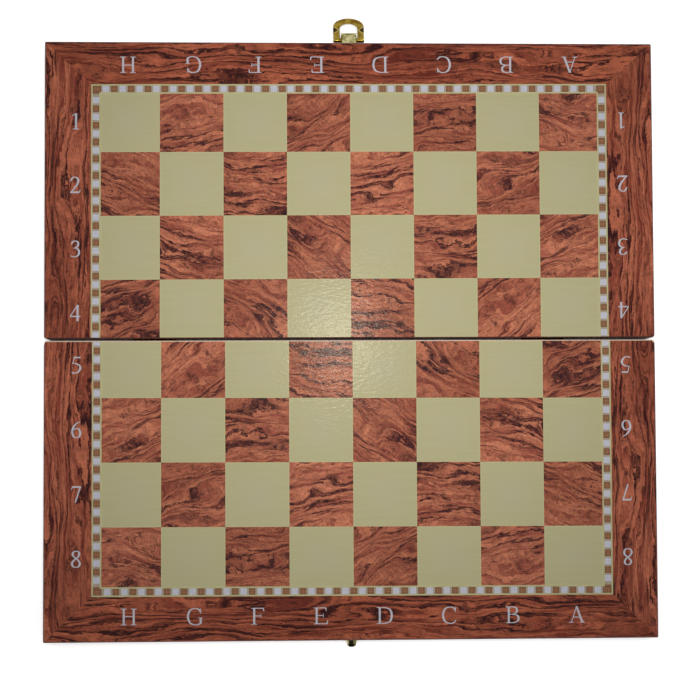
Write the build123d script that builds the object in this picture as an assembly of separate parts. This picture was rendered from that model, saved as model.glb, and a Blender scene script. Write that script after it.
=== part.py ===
from build123d import *

import os
from math import asin, atan2, cos, degrees, hypot, radians, sin

# A chess board made as a folding box, lying open with the playing face up: two shallow
# trays, mouths down, joined by two brass butt hinges at the seam, with a brass hasp on
# the far edge and its catch on the near edge.  Millimetres, +X right, +Y away, +Z up.
# The table is z = 0.  Each tray is drawn from the fold axis (y = 0) outwards.

# ---- board ----
board_width = 340.0  # left to right
half_depth = 165.8  # seam edge to outer edge of one half
half_height = 22.0  # rim to playing face
seam_gap = 1.2  # between the two halves when open
closed_gap = 0.3  # between the two rims when closed
rail_thickness = 8.0
panel_thickness = 3.0
sheet_thickness = 0.3  # printed playing sheet
lining_thickness = 0.8
lining_gap = 0.2  # lining to rails
corner_fingers = 5  # comb joint, counted over the height of a rail
outer_corner_radius = 0.8
seam_corner_radius = 1.6
rim_ease = 0.6  # chamfer round the rim
face_ease = 0.6  # chamfer round the top of the panel, which the playing sheet leaves bare

# ---- butt hinges ----
hinge_spacing = 220.0
leaf_length = 25.0
leaf_width = 6.8  # fold axis to the leaf's outer edge
leaf_gauge = 0.55
leaf_corner_radius = 1.0
hinge_pin_radius = 0.5
pin_clearance = 0.05
knuckle_count = 5
knuckle_gap = 0.2
knuckle_relief = 0.25  # leaf edge to the other leaf's knuckles
curl_gap = 0.15  # slit where a rolled knuckle ends
mortise_gap = 0.1
leaf_nail_spacing = 15.0
leaf_nail_offset = 4.3  # fold axis to the nails

# ---- nails ----
nail_radius = 0.5
nail_length = 5.0
nail_point = 1.0
nail_sides = 8
nail_head_radius = 1.05
nail_crown_radius = 0.65
leaf_nail_head = 0.3
plate_nail_head = 0.5
nail_hole_gap = 0.02

# ---- hasp ----
hasp_gauge = 0.9
tongue_width = 8.7
tongue_slope = 35.0  # of the tongue between the plate and the bar
bar_radius = 1.4  # cross bar of the loop, held in the rolled tongue
bar_clearance = 0.08
fold_room = 2.6  # beyond the bar, inside the folded tongue
bar_height = 4.5  # bar above the rim
bar_offset = 5.1  # bar to the outer edge of the board
loop_width = 17.5
loop_length = 14.5  # bar to the tip
loop_gauge = 1.2
loop_arch_rise = 5.6
opening_width = 10.1
opening_length = 11.3  # bar to the inner arch
opening_arch_rise = 3.5
loop_edge_bevel = 0.25
crease_place = 6.2  # bar to the pressed crease in each leg
crease_length = 4.2
crease_depth = 0.8
tip_clearance = 0.1  # tip of the drooping loop above the table
hasp_nail_side = 5.4
hasp_nail_top = 2.7  # top nail below the panel
hasp_nail_fall = 4.4  # side nails below the top nail
hasp_lobe_radius = 2.4

# ---- catch ----
catch_gauge = 0.8
lug_width = 6.2
lug_height = 2.4
lug_reach = 5.3
lug_tip_width = 4.6
lug_tip_height = 1.5
lug_corner_radius = 2.0
lug_lip = 0.5  # turned up at the tip, to keep the loop on
lug_lip_length = 1.4
lug_edge_radius = 0.35
lug_clearance = 0.9  # lug to the inner arch of the closed loop
closed_slant = 12.0  # of the closed loop, from its bar in to the lug
catch_lobe_radius = 3.7
catch_nail_side = 3.0
catch_nail_height = 10.8
catch_nail_lobe = 2.2

# ---- worked out ----
knuckle_radius = hinge_pin_radius + pin_clearance + leaf_gauge
axis_z = knuckle_radius
rim_z = axis_z + closed_gap / 2
play_z = rim_z + half_height
sheet_z = play_z - sheet_thickness
panel_z = sheet_z - panel_thickness
seam_y = seam_gap / 2
outer_y = seam_y + half_depth
side_x = board_width / 2
finger_height = (panel_z - rim_z) / corner_fingers
leaf_top = axis_z + knuckle_radius
leaf_bottom = leaf_top - leaf_gauge
leaf_nails = [(x, leaf_nail_offset) for x in (-leaf_nail_spacing / 2, leaf_nail_spacing / 2)]
hinge_places = {"left": -hinge_spacing / 2, "right": hinge_spacing / 2}

curl_radius = bar_radius + bar_clearance + hasp_gauge
bar_y = outer_y + bar_offset
bar_z = rim_z + bar_height
# The loop droops until the lower edge of its tip is just clear of the table.
tip_drop = bar_z - tip_clearance
droop = degrees(asin(tip_drop / hypot(loop_length, loop_gauge / 2)) - atan2(loop_gauge / 2, loop_length))
hasp_reach = bar_offset + loop_length * cos(radians(droop)) + loop_gauge / 2 * sin(radians(droop))
hasp_nails = [
    (-hasp_nail_side, panel_z - hasp_nail_top - hasp_nail_fall),
    (hasp_nail_side, panel_z - hasp_nail_top - hasp_nail_fall),
    (0, panel_z - hasp_nail_top),
]
# Closed, the loop lies round the lug, so the lug is placed from the bar.
closed_arch = opening_length * cos(radians(closed_slant)) - bar_z
lug_z = 2 * axis_z + closed_arch - lug_clearance - lug_height / 2
catch_nails = [(x, rim_z + catch_nail_height) for x in (-catch_nail_side, catch_nail_side)]

# The origin is under the middle of the whole board, hasp and catch included.
hinge_y = (lug_reach - hasp_reach) / 2


def block(x0, x1, y0, y1, z0, z1):
    """A box between two corners."""
    middle = Pos((x0 + x1) / 2, (y0 + y1) / 2, (z0 + z1) / 2)
    return middle * Box(x1 - x0, y1 - y0, z1 - z0)


def half_slab(z0, z1, inset=0.0):
    """A slab with the outline of one half, or this much smaller all round."""
    slab = block(-side_x + inset, side_x - inset, seam_y + inset, outer_y - inset, z0, z1)
    slab = fillet(slab.edges().filter_by(Axis.Z).group_by(Axis.Y)[0], seam_corner_radius - inset)
    return fillet(slab.edges().filter_by(Axis.Z).group_by(Axis.Y)[-1], outer_corner_radius - inset)


def frame_slab():
    """The outline of the rails, eased round the rim."""
    slab = half_slab(rim_z, panel_z)
    return chamfer(slab.faces().sort_by(Axis.Z)[0].edges(), rim_ease)


def comb(numbers):
    """The numbered fingers of the comb joints at all four corners, as blocks to cut away."""
    fingers = []
    for x0 in (-side_x, side_x - rail_thickness):
        for y0 in (seam_y, outer_y - rail_thickness):
            for n in numbers:
                z0 = rim_z + n * finger_height
                fingers.append(
                    block(x0, x0 + rail_thickness, y0, y0 + rail_thickness, z0, z0 + finger_height)
                )
    return fingers


def long_rail(y0):
    """A rail that runs left to right, with the even fingers of the comb joints."""
    rail = block(-side_x, side_x, y0, y0 + rail_thickness, rim_z, panel_z)
    return (rail & frame_slab()) - comb(range(1, corner_fingers, 2))


def side_rail(x0):
    """A rail that runs front to back, with the odd fingers."""
    rail = block(x0, x0 + rail_thickness, seam_y, outer_y, rim_z, panel_z)
    return (rail & frame_slab()) - comb(range(0, corner_fingers, 2))


def nail(head_height):
    """A small brass nail pointing up, with the flat side of its bevelled head at z = 0."""
    section = RegularPolygon(nail_radius, nail_sides)
    straight = nail_length - nail_point
    shank = extrude(section, straight) + loft([Pos(0, 0, straight) * section.face(), Vertex(0, 0, nail_length)])
    return shank + Pos(0, 0, -head_height / 2) * Cone(nail_crown_radius, nail_head_radius, head_height)


def nail_hole(depth):
    """Clearance for a nail's shank, from below z = 0 up to this depth."""
    section = RegularPolygon(nail_radius + nail_hole_gap, nail_sides)
    return extrude(Pos(0, 0, -plate_nail_head) * section, plate_nail_head + depth)


def leaf_places(hinge_x):
    """Where the nails of one leaf go: upwards, at the leaf's lower face."""
    return [Pos(hinge_x + x, y, leaf_bottom) for x, y in leaf_nails]


def face_places(points, stand_off):
    """Where nails go into the outer edge: along -Y, with their heads this far off the wood."""
    return [Pos(x, outer_y + stand_off, z) * Rot(90, 0, 0) for x, z in points]


def lengthened(radius, room):
    """A circle, drawn out this much along -X."""
    if room == 0:
        return Circle(radius)
    return Circle(radius) + Pos(-room, 0) * Circle(radius) + Pos(-room / 2, 0) * Rectangle(room, 2 * radius)


def rolled_edge(inner_radius, gauge, reach, width, room=0.0):
    """Sheet rolled round a bar on X: a C-shaped knuckle with a flat strip leaving it at the top
    along +Y, and a slit under the strip where the roll ends.  Room draws it out beyond the bar."""
    outer_radius = inner_radius + gauge
    strip = Pos(reach / 2, outer_radius - gauge / 2) * Rectangle(reach, gauge)
    slit = Pos(outer_radius / 2, inner_radius - curl_gap / 2) * Rectangle(outer_radius, curl_gap)
    section = lengthened(outer_radius, room) + strip - lengthened(inner_radius, room) - slit
    return extrude(Plane.YZ * section, width / 2, both=True)


# ---- wooden halves ----


def playing_sheet():
    return half_slab(sheet_z, play_z, face_ease)


def panel():
    """The board under the playing sheet, eased round its top edge."""
    board = half_slab(panel_z, sheet_z)
    return chamfer(board.faces().sort_by(Axis.Z)[-1].edges(), face_ease)


def lining():
    inset = rail_thickness + lining_gap
    return block(
        -side_x + inset,
        side_x - inset,
        seam_y + inset,
        outer_y - inset,
        panel_z - lining_thickness,
        panel_z,
    )


def hinge_rail():
    """The rail at the seam, with a mortise and nail holes for each hinge leaf."""
    rail = long_rail(seam_y)
    for hinge_x in hinge_places.values():
        half = leaf_length / 2 + mortise_gap
        rail -= block(
            hinge_x - half, hinge_x + half, 0, leaf_width + mortise_gap, rim_z - rim_ease, leaf_top
        )
        for place in leaf_places(hinge_x):
            rail -= place * nail_hole(nail_length + nail_hole_gap)
    return rail


def latch_rail(points, stand_off):
    """The rail at the outer edge, with nail holes for what is fixed to it."""
    rail = long_rail(outer_y - rail_thickness)
    for place in face_places(points, stand_off):
        rail -= place * nail_hole(nail_length + nail_hole_gap)
    return rail


# ---- butt hinges ----


def hinge_leaf(hinge_x, knuckles):
    """A leaf let into the rim, with rolled knuckles at these numbers along the pin."""
    pitch = leaf_length / knuckle_count
    plate = block(
        -leaf_length / 2,
        leaf_length / 2,
        knuckle_radius + knuckle_relief,
        leaf_width,
        leaf_bottom,
        leaf_top,
    )
    corners = plate.edges().filter_by(Axis.Z).group_by(Axis.Y)[-1]
    leaf = fillet(corners, leaf_corner_radius)
    for n in knuckles:
        x = (n + 0.5) * pitch - leaf_length / 2
        roll = rolled_edge(
            hinge_pin_radius + pin_clearance, leaf_gauge, leaf_width / 2, pitch - knuckle_gap
        )
        leaf += Pos(x, 0, axis_z) * roll
    leaf = Pos(hinge_x, 0, 0) * leaf
    for place in leaf_places(hinge_x):
        leaf -= place * nail_hole(nail_length)
    return leaf


def hinge_pin(hinge_x):
    return Pos(hinge_x, 0, axis_z) * Rot(0, 90, 0) * Cylinder(hinge_pin_radius, leaf_length)


def group(places, piece):
    """The same small piece at several places, as separate solids of one node."""
    return Compound(children=[place * piece for place in places])


# ---- hasp and catch ----


def plate_on_edge(lobes, gauge):
    """A plate on the outer edge, its outline drawn tight round these circles."""
    circles = Sketch() + [Pos(x, z) * Circle(radius) for x, z, radius in lobes]
    outline = make_hull(circles.edges())
    return extrude(Plane.XZ.offset(-outer_y) * outline, -gauge)


def tongue():
    """The strip that slopes out from the hasp's plate and is folded round the loop's bar."""
    slope = radians(tongue_slope)
    rise = (curl_radius - hasp_gauge / 2) * sin(slope)
    reach = (bar_offset - hasp_gauge / 2 + rise) / cos(slope)
    strip = rolled_edge(bar_radius + bar_clearance, hasp_gauge, reach, tongue_width, fold_room)
    return Pos(0, bar_y, bar_z) * Rot(-tongue_slope, 0, 0) * mirror(strip, about=Plane.XZ)


def hasp_plate():
    """The plate on the far edge, with its tongue."""
    lobes = [(x, z, hasp_lobe_radius) for x, z in hasp_nails]
    plate = plate_on_edge(lobes, hasp_gauge) + tongue()
    for place in face_places(hasp_nails, hasp_gauge):
        plate -= place * nail_hole(nail_length)
    return plate


def arched(width, length, rise):
    """A flat outline from y = 0 with straight sides and an elliptical end."""
    straight = length - rise
    return Pos(0, straight / 2) * Rectangle(width, straight) + Pos(0, straight) * Ellipse(width / 2, rise)


def hasp_loop():
    """The arched loop with its round cross bar, drooping until its tip is near the table."""
    outline = arched(loop_width, loop_length, loop_arch_rise)
    outline -= arched(opening_width, opening_length, opening_arch_rise)
    outline &= Pos(0, loop_length) * Rectangle(2 * loop_width, 2 * loop_length)
    loop = extrude(outline, loop_gauge / 2, both=True)
    long_edges = loop.faces().filter_by(Axis.Z).edges().filter_by(Axis.X, reverse=True)
    loop = chamfer(long_edges, loop_edge_bevel)
    bar = Rot(0, 90, 0) * Cylinder(bar_radius, loop_width)
    loop += chamfer(bar.edges().filter_by(GeomType.CIRCLE), loop_edge_bevel)
    for side in (-1, 1):
        loop -= Pos(side * loop_width / 2, crease_place, loop_gauge / 2) * leg_crease(side)
    return Pos(0, bar_y, bar_z) * Rot(-droop, 0, 0) * loop


def leg_crease(side):
    """A pyramid that narrows from a leg's outer side to a point at its inner side."""
    leg = (loop_width - opening_width) / 2
    middle = crease_length / 2
    pyramid = Wedge(crease_length, leg, 2 * crease_depth, middle, crease_depth, middle, crease_depth)
    return Rot(0, 0, side * 90) * pyramid


def lug():
    """A hook that stands out along +Y: from above a rounded tongue, and from the side a taper
    with a lip turned up at its tip."""
    half_width, half_tip = lug_width / 2, lug_tip_width / 2
    above = Polygon(
        (-half_width, 0), (half_width, 0), (half_tip, lug_reach), (-half_tip, lug_reach), align=None
    )
    above = fillet(above.vertices().group_by(Axis.Y)[-1], lug_corner_radius)
    top, low = lug_height / 2, -lug_height / 2
    neck = lug_reach - lug_lip_length
    side = Polygon(
        (0, low),
        (lug_reach, top + lug_lip - lug_tip_height),
        (lug_reach, top + lug_lip),
        (lug_reach - lug_lip_length / 2, top + lug_lip),
        (neck, top),
        (0, top),
        align=None,
    )
    side = fillet(side.vertices().group_by(Axis.X)[-1], lug_edge_radius)
    hook = extrude(Plane.YZ * side, lug_width, both=True)
    return hook & extrude(above, lug_height, both=True)


def catch_plate():
    """The plate and hook that the loop drops over, drawn on the far edge."""
    lobes = [(x, z, catch_nail_lobe) for x, z in catch_nails]
    lobes.append((0, lug_z, catch_lobe_radius))
    base = plate_on_edge(lobes, catch_gauge) & half_slab_ahead()
    catch = base + Pos(0, outer_y, lug_z) * lug()
    for place in face_places(catch_nails, catch_gauge):
        catch -= place * nail_hole(nail_length)
    return catch


def half_slab_ahead():
    """The space in front of the outer edge from just above the rim, which trims the catch."""
    return block(
        -loop_width, loop_width, outer_y, outer_y + lug_reach, rim_z + rim_ease, panel_z
    )


def far(piece):
    """Pieces are drawn on the far half."""
    return piece


def near(piece):
    """The same piece on the near half."""
    return mirror(piece, about=Plane.XZ)


def nodes():
    """Every piece by name."""
    pieces = {}
    for half in (far, near):
        name = half.__name__
        pieces[f"{name}_playing_sheet"] = half(playing_sheet())
        pieces[f"{name}_panel"] = half(panel())
        pieces[f"{name}_lining"] = half(lining())
        pieces[f"{name}_hinge_rail"] = half(hinge_rail())
        pieces[f"{name}_left_rail"] = half(side_rail(-side_x))
        pieces[f"{name}_right_rail"] = half(side_rail(side_x - rail_thickness))
    pieces["far_latch_rail"] = latch_rail(hasp_nails, hasp_gauge)
    pieces["near_latch_rail"] = near(latch_rail(catch_nails, catch_gauge))

    for side, hinge_x in hinge_places.items():
        small_nails = group(leaf_places(hinge_x), nail(leaf_nail_head))
        pieces[f"{side}_hinge_far_leaf"] = hinge_leaf(hinge_x, range(0, knuckle_count, 2))
        pieces[f"{side}_hinge_near_leaf"] = near(hinge_leaf(hinge_x, range(1, knuckle_count, 2)))
        pieces[f"{side}_hinge_pin"] = hinge_pin(hinge_x)
        pieces[f"{side}_hinge_far_nails"] = small_nails
        pieces[f"{side}_hinge_near_nails"] = near(small_nails)

    pieces["hasp_plate"] = hasp_plate()
    pieces["hasp_loop"] = hasp_loop()
    pieces["hasp_nails"] = group(face_places(hasp_nails, hasp_gauge), nail(plate_nail_head))
    pieces["catch_plate"] = near(catch_plate())
    pieces["catch_nails"] = near(group(face_places(catch_nails, catch_gauge), nail(plate_nail_head)))
    return pieces


os.makedirs("parts", exist_ok=True)
for name, piece in nodes().items():
    export_step(Pos(0, hinge_y, 0) * piece, f"parts/{name}.step")
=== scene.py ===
from functools import reduce
from math import pi, radians

import bpy
import numpy as np
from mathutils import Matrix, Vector
from mathutils.geometry import delaunay_2d_cdt


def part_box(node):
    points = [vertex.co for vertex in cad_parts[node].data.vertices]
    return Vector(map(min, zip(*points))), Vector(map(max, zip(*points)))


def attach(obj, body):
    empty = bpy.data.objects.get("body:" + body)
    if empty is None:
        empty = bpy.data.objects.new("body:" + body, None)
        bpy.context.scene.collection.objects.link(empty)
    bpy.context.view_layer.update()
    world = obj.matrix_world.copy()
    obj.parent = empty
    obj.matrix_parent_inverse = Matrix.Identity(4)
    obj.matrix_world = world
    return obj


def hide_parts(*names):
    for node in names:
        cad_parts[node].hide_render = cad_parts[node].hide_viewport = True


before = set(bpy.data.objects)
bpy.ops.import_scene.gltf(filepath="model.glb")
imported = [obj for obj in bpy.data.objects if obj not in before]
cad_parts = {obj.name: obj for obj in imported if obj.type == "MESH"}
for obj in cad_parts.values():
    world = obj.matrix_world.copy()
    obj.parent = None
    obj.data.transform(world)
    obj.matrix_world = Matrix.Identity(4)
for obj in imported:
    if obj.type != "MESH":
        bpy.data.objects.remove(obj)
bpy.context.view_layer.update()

# A folding chess board lying open, seen from above: two shallow trays hinged at the seam, faced
# with a printed and lacquered sheet, with a brass hasp on the far edge and a catch on the near one.
# Metres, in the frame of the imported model.  Colours are written as they look, in sRGB.

mm = 0.001

# ---- the printed playing face ----
square_wide = 35.35 * mm
square_deep = 35.6 * mm
end_square = 32.7 * mm  # what the border leaves of a square beside it
line_width = 0.9 * mm  # olive lines on both sides of the row of blocks
block_width = 3.6 * mm
border_width = block_width + 2 * line_width
files = 8
ranks = 8

block_pitch = 9.35 * mm
white_block = 3.5 * mm
brown_block = 3.6 * mm
corner_block = 4.6 * mm
whites_across = 30
first_white = 8.15 * mm  # corner of the row of blocks to the middle of the first white one

character_height = 9.1 * mm
character_standoff = 8.5 * mm  # border to the middle of a figure
letter_standoff = 10.9 * mm  # border to the middle of a letter
letter_shift = {"G": 0.9 * mm, "E": -0.6 * mm, "D": -0.6 * mm, "C": -0.3 * mm, "B": -0.4 * mm}
figure_drop = 0.5 * mm  # middle of a square to the middle of its figure, towards the seam
ink_thickness = 0.02 * mm
ink_root = 0.05 * mm  # how far the ink's closed underside lies in the sheet

# Each half has its own print, which doesn't lie quite in the middle of it, nor quite straight.
# The near one is the far one turned half round.  Margin runs from the outer edge to the border,
# row_shift from the middle of the print to that of its outer row of blocks, and skew is the
# print's slant, as y over x.
halves = {
    "far": {
        "body": "far_half",
        "outwards": 1,
        "margin": 23.4 * mm,
        "middle": -0.1 * mm,
        "row_shift": -0.45 * mm,
        "first_rank": 1,
        "skew": 0.0036,
    },
    "near": {
        "body": "near_half",
        "outwards": -1,
        "margin": 24.5 * mm,
        "middle": 0.65 * mm,
        "row_shift": 0.1 * mm,
        "first_rank": 8,
        "skew": -0.0027,
    },
}

veneer_tilt = 20  # degrees: how widely the squares' turns on the veneer spread
veneer_reach = 1.0  # metres of veneer, each way, that the squares are cut from
frame_draw = (0.5, 1.0)  # the frame's figure is twice as long along the grain as the squares'
frame_step = 0.7  # metres of veneer between two lengths of frame
ring_pitch = 8 * mm  # growth rings, where a veneer has 1 for Rings

lacquer_roughness = 0.15
lacquer_mirror = 0.09  # specular level
lacquer_relief = 0.06 * mm

seam_y = (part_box("far_panel")[0].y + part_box("near_panel")[1].y) / 2
face_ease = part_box("far_panel")[1].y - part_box("far_playing_sheet")[1].y
seam_radius = 1.1 * mm  # corners of the playing sheet at the seam
edge_radius = 0.3 * mm  # and at the outer edge
sheet_low, sheet_high = (corner.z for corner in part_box("far_playing_sheet"))
sheet_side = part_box("far_playing_sheet")[1].x
half_inner = (files / 2 - 1) * square_wide + end_square
half_outer = half_inner + border_width


# ---- meshes ----


def mesh_object(name, points, faces, material, body):
    """A new piece from an array of points and a list of faces, riding on a body."""
    mesh = bpy.data.meshes.new(name)
    mesh.from_pydata(np.asarray(points).tolist(), [], [list(map(int, face)) for face in faces])
    mesh.materials.append(material)
    piece = bpy.data.objects.new(name, mesh)
    bpy.context.scene.collection.objects.link(piece)
    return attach(piece, body)


def boxes(rectangles, low, high):
    """Closed boxes on rectangles given as rows of x0, x1, y0, y1.  A corner is the first value
    plus its 0 or 1 times the span, for all rectangles at once."""
    rectangles = np.asarray(rectangles, float)
    ring = [(0, 0), (1, 0), (1, 1), (0, 1)]
    corner = np.array([(x, y, z) for z in (0, 1) for x, y in ring])
    start = np.stack([rectangles[:, 0], rectangles[:, 2], np.full(len(rectangles), low)], 1)
    end = np.stack([rectangles[:, 1], rectangles[:, 3], np.full(len(rectangles), high)], 1)
    points = start[:, None] + (end - start)[:, None] * corner
    walls = [(0, 1, 5, 4), (1, 2, 6, 5), (2, 3, 7, 6), (3, 0, 4, 7)]
    sides = np.array([(0, 3, 2, 1), (4, 5, 6, 7), *walls])
    faces = sides + 8 * np.arange(len(rectangles))[:, None, None]
    return points.reshape(-1, 3), faces.reshape(-1, 4)


def prism(outline, low, high):
    """A closed slab: its outline at two heights, a wall between them and two caps."""
    outline = np.asarray(outline, float)
    if not turns_left(outline):
        outline = outline[::-1]
    count = len(outline)
    points = np.vstack([np.c_[outline, np.full(count, low)], np.c_[outline, np.full(count, high)]])
    here = np.arange(count)
    following = np.roll(here, -1)
    walls = np.stack([here, following, following + count, here + count], 1)
    return points, [here[::-1], here + count, *walls]


def set_map(piece, name, positions):
    """Give each corner of a piece its place on a map of this name."""
    mesh = piece.data
    vertex = np.empty(len(mesh.loops), int)
    mesh.loops.foreach_get("vertex_index", vertex)
    layer = mesh.uv_layers.new(name=name)
    layer.uv.foreach_set("vector", positions[vertex].astype(np.float32).ravel())


# ---- materials ----


def colour(red, green, blue):
    """A colour that is written as it looks, 0 to 255, in linear values."""
    share = np.array([red, green, blue]) / 255
    linear = np.where(share <= 0.04045, share / 12.92, ((share + 0.055) / 1.055) ** 2.4)
    return (*linear.tolist(), 1.0)


def add(tree, kind, inputs=None, **settings):
    """Add a node.  Inputs maps a socket's name or number to a value or to another node's socket."""
    node = tree.nodes.new(kind)
    for name, value in settings.items():
        setattr(node, name, value)
    for name, value in (inputs or {}).items():
        if isinstance(value, bpy.types.NodeSocket):
            tree.links.new(value, node.inputs[name])
        else:
            node.inputs[name].default_value = value
    return node


def maths(tree, operation, *values, clamp=False):
    """One step of arithmetic on values and sockets."""
    inputs = dict(enumerate(values))
    return add(tree, "ShaderNodeMath", inputs, operation=operation, use_clamp=clamp).outputs[0]


def plus(tree, *values):
    """The sum of values and sockets."""
    return reduce(lambda total, value: maths(tree, "ADD", total, value), values)


def times(tree, *values):
    """The product of values and sockets."""
    return reduce(lambda product, value: maths(tree, "MULTIPLY", product, value), values)


def minus(tree, first, second):
    """The first less the second."""
    return maths(tree, "SUBTRACT", first, second)


def size_of(tree, value):
    """A value without its sign."""
    return maths(tree, "ABSOLUTE", value)


def own_place(tree):
    """The place of a point on its piece, in metres."""
    return add(tree, "ShaderNodeTexCoord").outputs["Object"]


def mapped(tree, name):
    """The place of a point on the map of this name."""
    return add(tree, "ShaderNodeUVMap", uv_map=name).outputs[0]


def split(tree, vector):
    """The X, Y and Z of a vector."""
    return add(tree, "ShaderNodeSeparateXYZ", {0: vector}).outputs


def facing(tree):
    """The X, Y and Z of the direction that a face looks in."""
    return split(tree, add(tree, "ShaderNodeTexCoord").outputs["Normal"])


def blend(tree, amount, first, second, mode="MIX"):
    """Mix two colours."""
    inputs = {0: amount, 6: first, 7: second}
    return add(tree, "ShaderNodeMix", inputs, data_type="RGBA", blend_type=mode).outputs[2]


def step(tree, value, low, high):
    """A smooth step from 0 at low to 1 at high."""
    inputs = {0: value, 1: low, 2: high}
    return add(tree, "ShaderNodeMapRange", inputs, interpolation_type="SMOOTHSTEP").outputs[0]


def noise(tree, vector, size, detail=2.0, roughness=0.5, distortion=0.0):
    """Noise whose spots are size long in millimetres along each axis; the vector is in metres."""
    scale = [1 / (mm * length) for length in size]
    stretched = add(tree, "ShaderNodeVectorMath", {0: vector, 1: scale}, operation="MULTIPLY")
    inputs = {"Vector": stretched.outputs[0], "Scale": 1.0, "Detail": detail}
    inputs |= {"Roughness": roughness, "Distortion": distortion}
    return add(tree, "ShaderNodeTexNoise", inputs, noise_type="FBM").outputs[0]


def shader_group(name, inputs, outputs):
    """A node group whose sockets are given by name, each with its kind."""
    tree = bpy.data.node_groups.new(name, "ShaderNodeTree")
    for way, sockets in (("INPUT", inputs), ("OUTPUT", outputs)):
        for socket, kind in sockets.items():
            tree.interface.new_socket(socket, in_out=way, socket_type="NodeSocket" + kind)
    given = tree.nodes.new("NodeGroupInput").outputs
    return tree, given, tree.nodes.new("NodeGroupOutput").inputs


def place_group(tree, group, inputs):
    """Put a group into a material."""
    return add(tree, "ShaderNodeGroup", inputs, node_tree=group).outputs


def surface(name, **sockets):
    """A material with one Principled shader and these values, its tree and its sockets."""
    material = bpy.data.materials.new(name)
    material.use_nodes = True
    shader = material.node_tree.nodes["Principled BSDF"]
    for socket, value in sockets.items():
        shader.inputs[socket.replace("_", " ")].default_value = value
    return material, material.node_tree, shader.inputs


def raise_surface(tree, sockets, height, depth, strength=1.0):
    """Bump a material's surface by a height, which is this deep from 0 to 1."""
    bump = add(tree, "ShaderNodeBump", {"Height": height, "Distance": depth, "Strength": strength})
    tree.links.new(bump.outputs[0], sockets["Normal"])


def rise_and_fall(tree, value, start, end):
    """1 just before each whole number, after a slow rise and before a quick fall."""
    share = maths(tree, "FRACT", value)
    fall = minus(tree, 1.0, step(tree, share, end, 1.0))
    return times(tree, step(tree, share, start, end), fall)


def build_veneer_group():
    """Rosewood figure.  The place across the grain is pushed about by a wide and a fine noise.
    Rings lie across it, made uneven by a slow bend and by long strands.  A ring rises slowly to
    its dark end and falls off quickly, and so does each of the three thin lines in it.  Where a
    ring's end, a patch, the strands and the fibres add up to enough there is a dark vein, broken
    up by its fibres.  Bands, fibres, a slow tone and cross ripples shade the wood between."""
    tree, given, out = shader_group(
        "veneer_figure",
        {
            "Vector": "Vector",
            "Light": "Color",
            "Dark": "Color",
            "Vein": "Color",
            "Vein amount": "Float",
            "Line amount": "Float",
            "Rings": "Float",
            "Ripple": "Float",
        },
        {"Color": "Color"},
    )
    place = given["Vector"]
    wide_push = times(tree, noise(tree, place, (40, 15, 1), 1.0), 26 * mm)
    fine_push = times(tree, noise(tree, place, (10, 5, 1), 4.0, 0.6), 7 * mm)
    push = add(tree, "ShaderNodeCombineXYZ", {"Y": plus(tree, wide_push, fine_push)}).outputs[0]
    grain = add(tree, "ShaderNodeVectorMath", {0: place, 1: push}, operation="ADD").outputs[0]

    fibres = noise(tree, grain, (4, 0.8, 1), 4.0, 0.75)
    strands = noise(tree, grain, (14, 1.5, 1), 5.0, 0.75)
    slow_bend = noise(tree, grain, (36, 8, 1), 2.0)
    rings = times(tree, maths(tree, "DIVIDE", split(tree, grain)["Y"], ring_pitch), given["Rings"])
    rings = plus(tree, rings, times(tree, slow_bend, 3.0), times(tree, strands, 1.6))
    ring_end = rise_and_fall(tree, rings, 0.4, 0.94)
    lines = rise_and_fall(tree, times(tree, rings, 3.0), 0.4, 0.95)

    bands = noise(tree, grain, (26, 3.2, 1), 4.0, 0.6)
    bands = plus(tree, bands, times(tree, ring_end, -0.12))
    bands = plus(tree, times(tree, bands, 0.55), times(tree, strands, 0.45))
    tone = blend(tree, step(tree, bands, 0.37, 0.58), given["Dark"], given["Light"])
    tone = blend(tree, 0.9, tone, step(tree, fibres, 0.15, 0.64), "MULTIPLY")
    brighter = (1.3, 1.3, 1.3, 1)
    tone = blend(tree, 1.0, tone, brighter, "MULTIPLY")

    dusky, pale = (0.80, 0.76, 0.74, 1), (1.08, 1.10, 1.10, 1)
    slow_tone = step(tree, noise(tree, place, (80, 50, 1), 1.0), 0.3, 0.7)
    tone = blend(tree, 1.0, tone, blend(tree, slow_tone, dusky, pale), "MULTIPLY")
    ripples = noise(tree, place, (0.8, 2.6, 1), 3.0, 0.6, 0.8)
    tone = blend(tree, given["Ripple"], tone, step(tree, ripples, 0.05, 0.62), "MULTIPLY")

    streaked = step(tree, noise(tree, grain, (12, 6, 1), 3.0, 0.6), 0.42, 0.62)
    streaked = times(tree, streaked, step(tree, fibres, 0.62, 0.44))
    drawn = times(tree, lines, streaked, given["Line amount"])
    tone = blend(tree, drawn, tone, given["Vein"])

    patch = step(tree, noise(tree, grain, (50, 20, 1), 2.0), 0.32, 0.62)
    enough = times(tree, ring_end, times(tree, patch, given["Vein amount"]), 0.25)
    ragged = plus(tree, times(tree, strands, 0.5), times(tree, fibres, 0.4))
    vein = step(tree, plus(tree, enough, ragged), 0.57, 0.67)
    unbroken = plus(tree, 0.6, times(tree, step(tree, fibres, 0.60, 0.46), 0.38))
    tree.links.new(blend(tree, times(tree, vein, unbroken), tone, given["Vein"]), out["Color"])
    return tree


def build_lacquer_group():
    """Sprayed lacquer: a fine orange peel, with a slower swell of half its height under it."""
    tree, given, out = shader_group("sprayed_lacquer", {"Vector": "Vector"}, {"Height": "Float"})
    peel = noise(tree, given["Vector"], (2.6, 1.3, 1.5), 1.0)
    swell = noise(tree, given["Vector"], (14, 14, 14), 1.0)
    tree.links.new(maths(tree, "MULTIPLY_ADD", swell, 0.5, peel), out["Height"])
    return tree


veneer_figure = build_veneer_group()
sprayed_lacquer = build_lacquer_group()


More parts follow.
